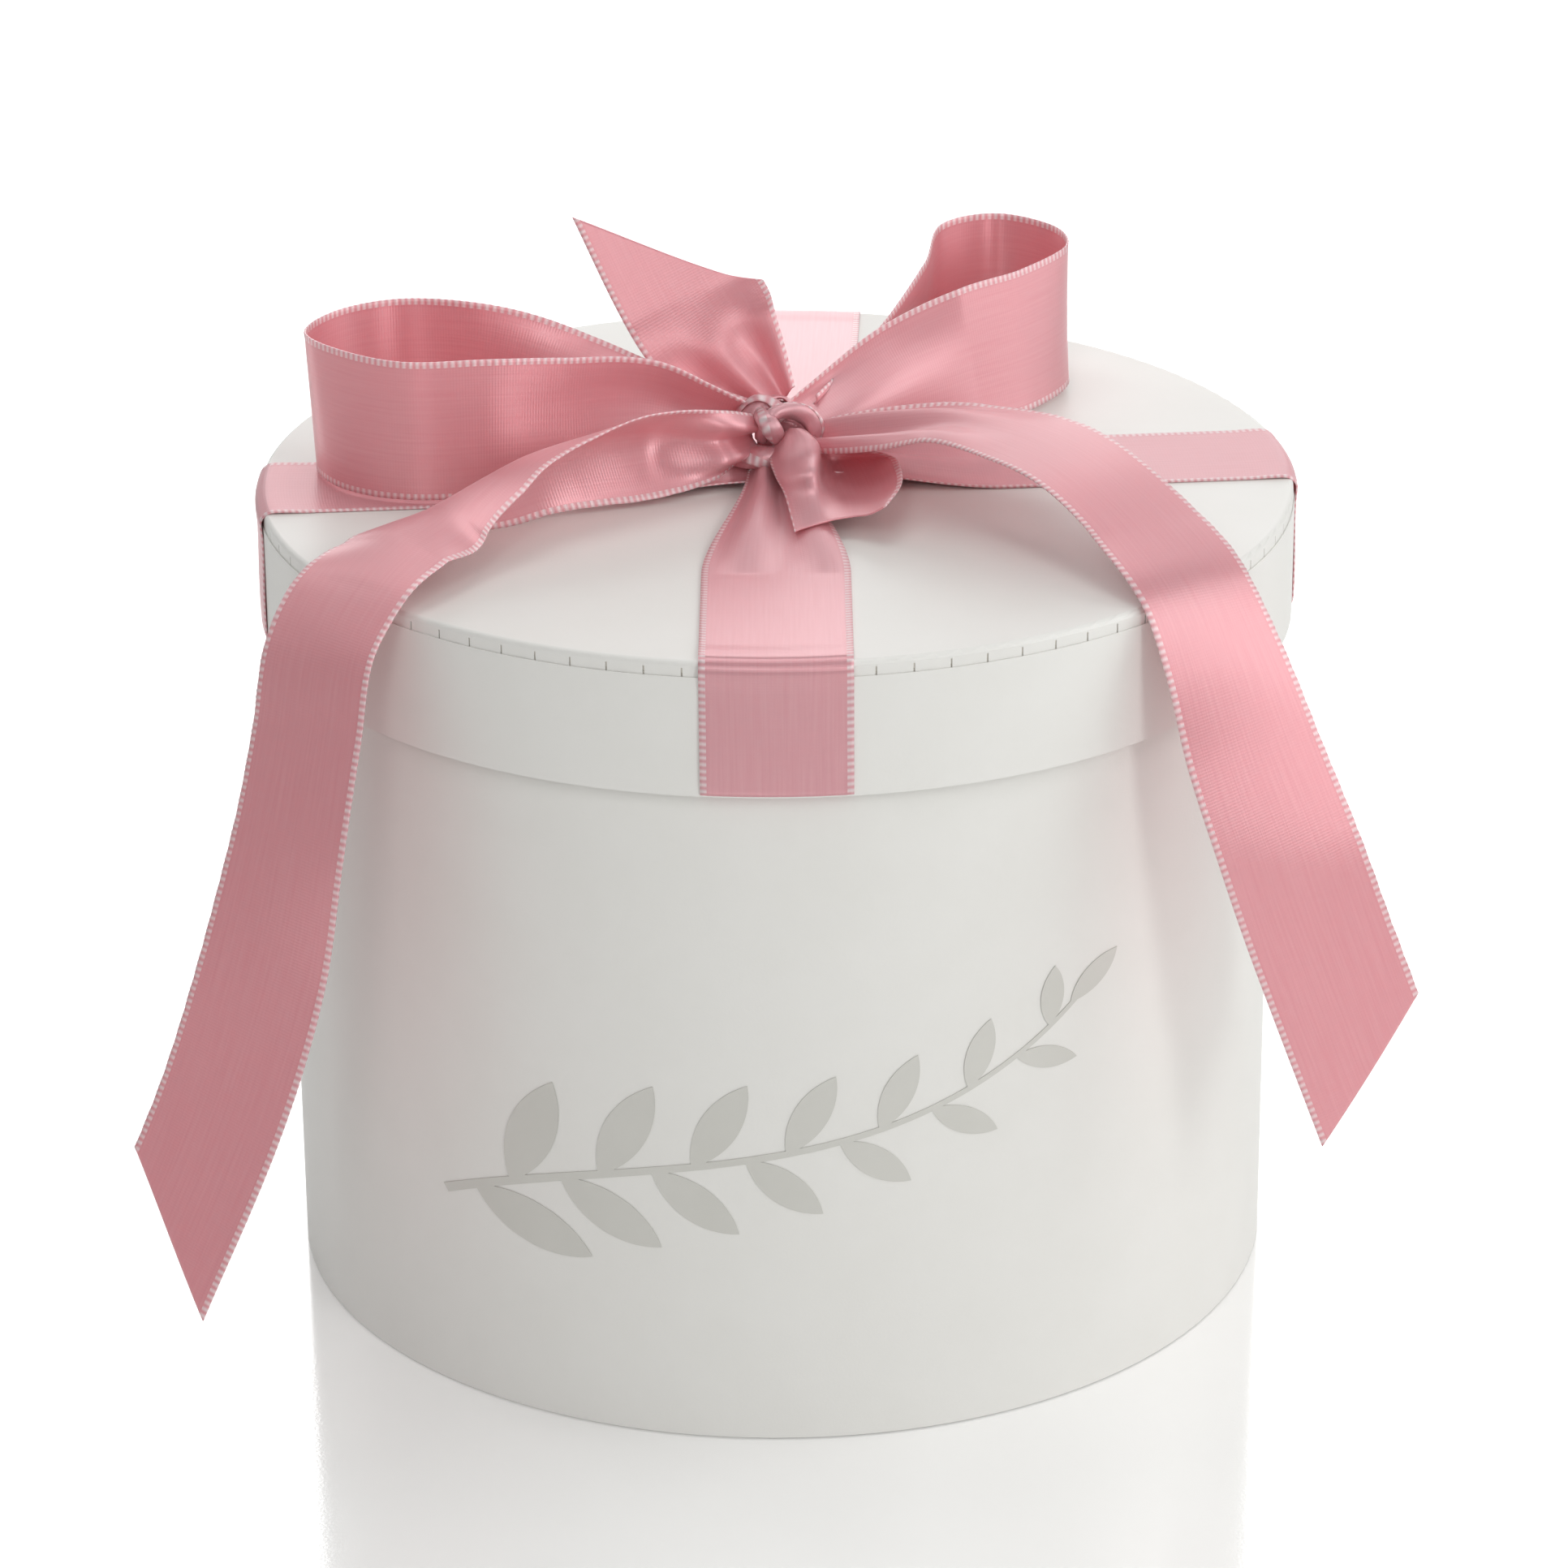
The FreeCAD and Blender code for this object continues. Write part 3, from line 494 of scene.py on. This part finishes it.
# %% Stations of the bow, in mm: middle, direction of the width, gathered width
LOOP_LEFT = [
    ((-4, 0, 152), (0, 0.2, 1), 9),
    ((-14, -2, 154), (0, 0.2, 1), 16),
    ((-24, -5, 156.5), (0, 0.1, 1), 21.5),
    ((-37, -10, 157.4), (0, 0, 1), 24),
    ((-50, -14, 158), (0, 0, 1), 25),
    ((-64, -15, 158), (0, 0, 1), 25),
    ((-75, -9, 158), (0, 0.05, 1), 25),
    ((-81.5, 2, 158), (-0.05, 0, 1), 25),
    ((-77, 14, 158), (0, 0, 1), 25),
    ((-66, 20, 158), (0, 0, 1), 25),
    ((-52, 18, 157.8), (0, 0, 1), 24.5),
    ((-36, 12, 155.5), (0, 0.4, 1), 21),
    ((-20, 6, 153), (0, 0.4, 1), 16),
    ((-5, 3, 152), (0, 0.3, 1), 9),
]
LOOP_RIGHT = [
    ((5, 1, 153), (0, 0.3, 1), 9),
    ((13, 6, 154.5), (0, 0.3, 1), 15),
    ((23, 14, 156.5), (0, 0.3, 1), 21),
    ((35, 23, 157.7), (0, 0.3, 1), 25),
    ((46, 33, 158), (0, 0.3, 1), 25),
    ((53, 45, 158.5), (0, 0.2, 1), 25),
    ((51, 57, 159), (0, 0, 1), 25),
    ((41, 63, 159.5), (0, 0, 1), 25),
    ((31, 57, 159.5), (0, 0, 1), 25),
    ((26.5, 43, 157.5), (0, 0, 1), 23),
    ((18.5, 28, 155), (0, 0, 1), 18),
    ((5, 5, 153), (0, 0, 1), 9),
]
TAIL_LEFT = [
    ((-3.5, -4.5, 152.5), (0.1, -0.2, 1), 8),
    ((-9.5, -11.5, 153.5), (0, 0, 1), 12.5),
    ((-22, -18.5, 154), (0, -0.18, 1), 16.5),
    ((-32, -23.5, 153), (0, -0.43, 0.9), 16),
    ((-39, -27.5, 151.8), (0, -0.64, 0.77), 16),
    ((-46.5, -34, 150.3), (0, -0.88, 0.47), 18),
    ((-56, -41.5, 149), (0.1, -0.98, 0.15), 21.5),
    ((-64, -51.5, 149.3), (0.4, -0.9, 0.05), 24),
    ((-70.5, -60, 146.8), (0.7, -0.7, 0.03), 25),
    ((-76, -66, 138), (0.75, -0.65, 0.1), 25),
    ((-78.5, -70, 124), (0.75, -0.6, 0.2), 25),
    ((-82, -75, 106), (0.8, -0.6, 0.15), 25),
    ((-87, -79, 84), (0.85, -0.45, 0.1), 25),
    ((-95, -83, 60), (0.87, -0.45, 0.05), 25),
    ((-108, -88.5, 31), (0.87, -0.45, 0), 25),
]
TAIL_RIGHT = [
    ((7, -3, 152.5), (0, -1, -0.3), 9),
    ((20, -9, 156), (-0.2, -1, -0.1), 18),
    ((31, -15, 158.7), (-0.25, -1, 0.05), 23),
    ((42, -23, 159), (-0.35, -1, 0), 25),
    ((52, -34, 157.3), (-0.5, -0.9, 0), 25),
    ((62, -47, 151.7), (-0.6, -0.8, 0), 25),
    ((69.3, -59.5, 145.3), (-0.7, -0.7, 0), 25),
    ((74, -66, 135), (-0.8, -0.6, 0), 25),
    ((79, -71, 120), (-0.9, -0.4, 0.05), 25),
    ((85, -75, 104), (-0.95, -0.3, 0.05), 25),
    ((91.5, -77, 86), (-0.95, -0.3, -0.1), 25),
    ((102.5, -80, 57), (-0.95, -0.3, -0.25), 25),
]
TAIL_BACK = [
    ((0, 6, 155), (-1, 0, -0.2), 9),
    ((-5, 9, 160), (-1, 0, -0.25), 17),
    ((-10.4, 11.5, 166), (-1, 0, -0.25), 24),
    ((-15.3, 16, 172.4), (-1, 0, -0.1), 25),
    ((-24.5, 26, 189), (-1, 0, 0), 25),
]
print("stations: %d and %d in the loops" % (len(LOOP_LEFT), len(LOOP_RIGHT)))

# %% Make loops and tails
BOW = {
    "bow_loop_left": (LOOP_LEFT, dict(pleats=1, phase=0.6), "gathered"),
    "bow_loop_right": (LOOP_RIGHT, dict(pleats=1, phase=2.0), "gathered"),
    "tail_left": (TAIL_LEFT, dict(pleats=2, phase=1.2, slant=20.0, arch_from=4.0), "hung"),
    "tail_right": (TAIL_RIGHT, dict(pleats=2, phase=0.2, slant=17.5, crown=-0.5), "hung"),
    "tail_back": (TAIL_BACK, dict(pleats=2, phase=0.9, slant=27.0), "gathered"),
}
for node_name, (stations, folds, held) in BOW.items():
    piece, length = free_ribbon("satin_" + node_name, stations, **folds)
    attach(piece, "lid")
    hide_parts(node_name)

# %% [markdown]
# ## The curled front tail
# The last tail is short and curls like a calla flower. Its left edge is folded over a crest, and
# behind the crest the cloth dips into a cup. Six rows of points cross the ribbon, from the knot
# to the cut end, and a smooth surface goes through them.

# %% The calla-shaped tail
CURLED_TAIL = [
    [(1.7, -5, 153.8), (2.5, -7, 155.1), (3.9, -8.5, 155.6), (5, -5.5, 154.2),
     (5.9, -4, 153.1), (6.6, -5, 152.8), (7.2, -6.5, 152.6)],
    [(-0.6, -6, 151.4), (1.9, -10, 153.3), (6.2, -11.5, 154.6), (7.6, -6, 151.6),
     (8.2, -4, 150.6), (9.6, -4, 150.3), (11.3, -7.5, 152)],
    [(-1.2, -9, 150.4), (1.9, -13.5, 151.7), (6.6, -15.5, 153.3), (8, -7.5, 149.6),
     (10.4, -4.8, 147.3), (14.7, -6, 149.1), (19.7, -11.5, 151.6)],
    [(-0.2, -15.7, 149.5), (2.1, -19.5, 150.5), (6.4, -22.2, 152.4), (7.9, -14.5, 148.5),
     (11.5, -14.5, 146.8), (16.9, -15.5, 148.5), (21.3, -20.8, 152.8)],
    [(1.4, -22.2, 148.3), (3.5, -24.8, 148.9), (6.5, -26, 149.8), (9.1, -24, 148.2),
     (12.7, -25, 147.9), (17.4, -25, 149.2), (21.3, -27.6, 152)],
    [(3, -35.7, 146.6), (4.5, -35.2, 147), (7.3, -34.5, 147.6), (10.1, -33.2, 147.9),
     (13.1, -33, 148.3), (15.9, -34.4, 149.2), (18.6, -36, 151.3)],
]
CURL_LENGTH = 33.0


def smooth_through(values, share):
    """A smooth curve through evenly spaced values, for a share from 0 to 1."""
    spans = len(values) - 1
    first = min(int(share * spans), spans - 1)
    t = share * spans - first
    a, b, c, d = (values[min(max(i, 0), spans)] for i in range(first - 1, first + 3))
    return (b * 2 + (c - a) * t + (a * 2 - b * 5 + c * 4 - d) * t**2
            + (b * 3 - a - c * 3 + d) * t**3) / 2


def curl_shape(distance, across):
    """A point of the curled tail, first across each row and then along the ribbon."""
    rows = [[Vector(point) for point in row] for row in CURLED_TAIL]
    scallop = math.copysign(selvedge(distance, across)[0], across)
    share = min(max((across + scallop) / RIBBON_WIDTH + 0.5, 0.0), 1.0)
    return smooth_through([smooth_through(row, share) for row in rows], distance / CURL_LENGTH)


curl = cloth("satin_tail_front", CURL_LENGTH, curl_shape)
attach(curl, "lid")
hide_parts("tail_front")
print("curled tail from", len(CURLED_TAIL), "rows of points")

# %% [markdown]
# ## The knot
# In a tied knot the ribbon is squeezed to a rope a few millimetres thick. A ribbon rolled up
# round its own middle line looks much the same: a puffy strand with one edge along it. One
# strand rings the top of the knot, one bulges behind it, one wraps its left front, one lies
# under it, and a thick one fills its middle.

# %% Strands of the knot: middle, a direction across the strand, and radius
STRANDS = {
    "ring": [((-2.6, -4.5, 152.5), (0, 1, 0), 1.1), ((-2.4, -6, 155), (0, 1, 0), 1.2),
             ((-1.2, -6.3, 156.9), (0, 1, 0), 1.3), ((0.9, -5.5, 157.8), (0, 1, 0), 1.4),
             ((3.4, -4.6, 157.4), (0, 1, 0), 1.5), ((5.6, -3.8, 156), (0, 1, 0), 1.5),
             ((6.9, -3.6, 154), (0, 1, 0), 1.4), ((6.9, -2.8, 151.5), (0, 1, 0), 1.1)],
    "lobe": [((-6, -1.5, 152), (0, 1, 0), 1.6), ((-5, -0.5, 155), (0, 1, 0), 2.4),
             ((-2.8, 0.3, 156.4), (0, 1, 0), 2.9), ((-0.5, 0, 155.4), (0, 1, 0), 2.6),
             ((1, -1, 153.8), (0, 1, 0), 2.2)],
    "front": [((-3, -4, 157), (1, 0, 0), 0.9), ((-1.9, -7.2, 156.8), (1, 0, 0), 1.4),
              ((-0.8, -8.2, 155.6), (1, 0, 0), 1.5), ((0, -7.2, 154), (1, 0, 0), 1.3),
              ((0.6, -4.5, 152), (1, 0, 0), 1)],
    "under": [((-8, -3, 149), (0, 1, 0), 1.8), ((-4, -5.5, 149.3), (0, 1, 0), 2.6),
              ((1, -6.5, 149), (0, 1, 0), 2.6), ((6, -5, 148.8), (0, 1, 0), 1.8)],
    "core": [((1, 2, 146.2), (1, 0, 0), 3.5), ((1, 2.2, 148.5), (1, 0, 0), 5.2),
             ((1, 2, 152.5), (1, 0, 0), 5.6), ((1, 1.5, 155.5), (1, 0, 0), 4.4),
             ((1, 1, 157), (1, 0, 0), 1.6)],
}


CREASE = 0.16         # depth of the creases, as a part of the radius
CREASE_TWIST = 0.35   # turn of the creases per mm
ROLL_TWIST = 0.12     # turn of the whole roll per mm


def strand(name, stations):
    """A ribbon rolled up round its own middle line, with soft creases along it."""
    line = Line(stations)
    mean_radius = sum(station[2] for station in stations) / len(stations)
    # The roll opens from half the radius to the whole, so its mean is three quarters.
    turns = RIBBON_WIDTH / (2 * math.pi * 0.75 * mean_radius)

    def shape(distance, across):
        place, along, side, out, radius = line.at(distance)
        share = across / RIBBON_WIDTH + 0.5
        angle = 2 * math.pi * turns * share + ROLL_TWIST * distance
        crease = 1 + CREASE * math.sin(2 * angle + CREASE_TWIST * distance)
        reach = radius * (0.5 + 0.5 * share) * crease
        return place + side * (math.cos(angle) * reach) + out * (math.sin(angle) * reach)

    piece = cloth("satin_knot_" + name, line.length, shape, step=0.4, columns=120)
    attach(piece, "lid")
    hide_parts("bow_knot")
    print("knot %-6s %.0f mm of ribbon, %.1f turns" % (name, line.length, turns))


for strand_name, strand_stations in STRANDS.items():
    strand(strand_name, strand_stations)

# %% [markdown]
# ## The bands over the lid
# Each band comes out from under the knot, opens to its full width, lies on the lid, bends over
# the rim, and is turned up inside it. On the rim it follows the round wall.


# %% A band and its folds
BAND_TURNS = {"band_right": 4.5, "band_back": 87.7, "band_left": 184.5, "band_front": 269.8}
# Width at the knot, where the band is flat again, lift at the knot, and the place and width of
# its main fold as parts of the ribbon's width.
FOLDS = {"band_front": (10.0, 46.0, 2.0, -0.2, 0.54), "band_back": (15.0, 30.0, 2.0, 0.0, 0.5),
         "band_left": (18.0, 30.0, 1.0, 0.1, 0.6), "band_right": (16.0, 34.0, 2.0, -0.1, 0.6)}
TUCK = 11.0             # length turned up inside the rim
BEND = 1.3              # radius of the bend over the rim
FOLD_RISE = 0.09        # half the main fold's height, as a part of a half gathered width
FLAT_WITHIN = 30.0      # nearer the middle than this, a band isn't bent to the round wall


def band_line():
    """Side view of a band along X, from the knot, over the rim, to its tucked end."""
    skin = RIBBON_THICK / 2 + 0.05
    top, out = LID_TOP + skin, RIM_RADIUS + skin
    foot, inside = RIM_FOOT - skin, RIM_INSIDE - skin
    corners = [(5, top), (40, top), (out - 8, top), (out - 4, top + 0.15), (out - BEND, top),
               (out + 0.1, top - BEND), (out + 0.15, top - 3.2), (out, top - 5), (out, foot + 1),
               (out - 1, foot), (inside + 0.8, foot), (inside, foot + 0.8), (inside, foot + TUCK)]
    return Line([((x, 0, z), (0, 1, 0), RIBBON_WIDTH) for x, z in corners])


def band(name):
    """One band, with its fold near the knot and its round stretch on the rim."""
    line = band_line()
    pinched, pinch_end, lift, fold_place, fold_width = FOLDS[name]
    turn = Matrix.Rotation(math.radians(BAND_TURNS[name]), 3, "Z")

    def shape(distance, across):
        place = line.at(distance)[0]
        open_share = smooth_step(0, pinch_end, distance)
        width = pinched + (RIBBON_WIDTH - pinched) * open_share
        share = across / RIBBON_WIDTH
        scallop, raised = selvedge(distance, across)
        offset = share * width + math.copysign(scallop, across)
        tight = max(RIBBON_WIDTH / width - 1, 0.0)
        wave = 1 + math.cos(2 * math.pi * (share - fold_place) / fold_width)
        rise = FOLD_RISE * width * math.sqrt(tight) * wave + lift * (1 - open_share)
        round_share = smooth_step(RIM_RADIUS * 0.6, RIM_RADIUS, place.x)
        sag = 0.0
        if place.x > FLAT_WITHIN:
            sag = place.x - math.sqrt(max(place.x**2 - offset**2, 0.0))
        return turn @ Vector((place.x - sag * round_share, offset, place.z + rise + abs(raised)))

    piece = cloth(name + "_satin", line.length, shape)
    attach(piece, "lid")
    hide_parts(name)
    print("%-16s %.0f mm of ribbon" % (name, line.length))


for band_name in BAND_TURNS:
    band(band_name)
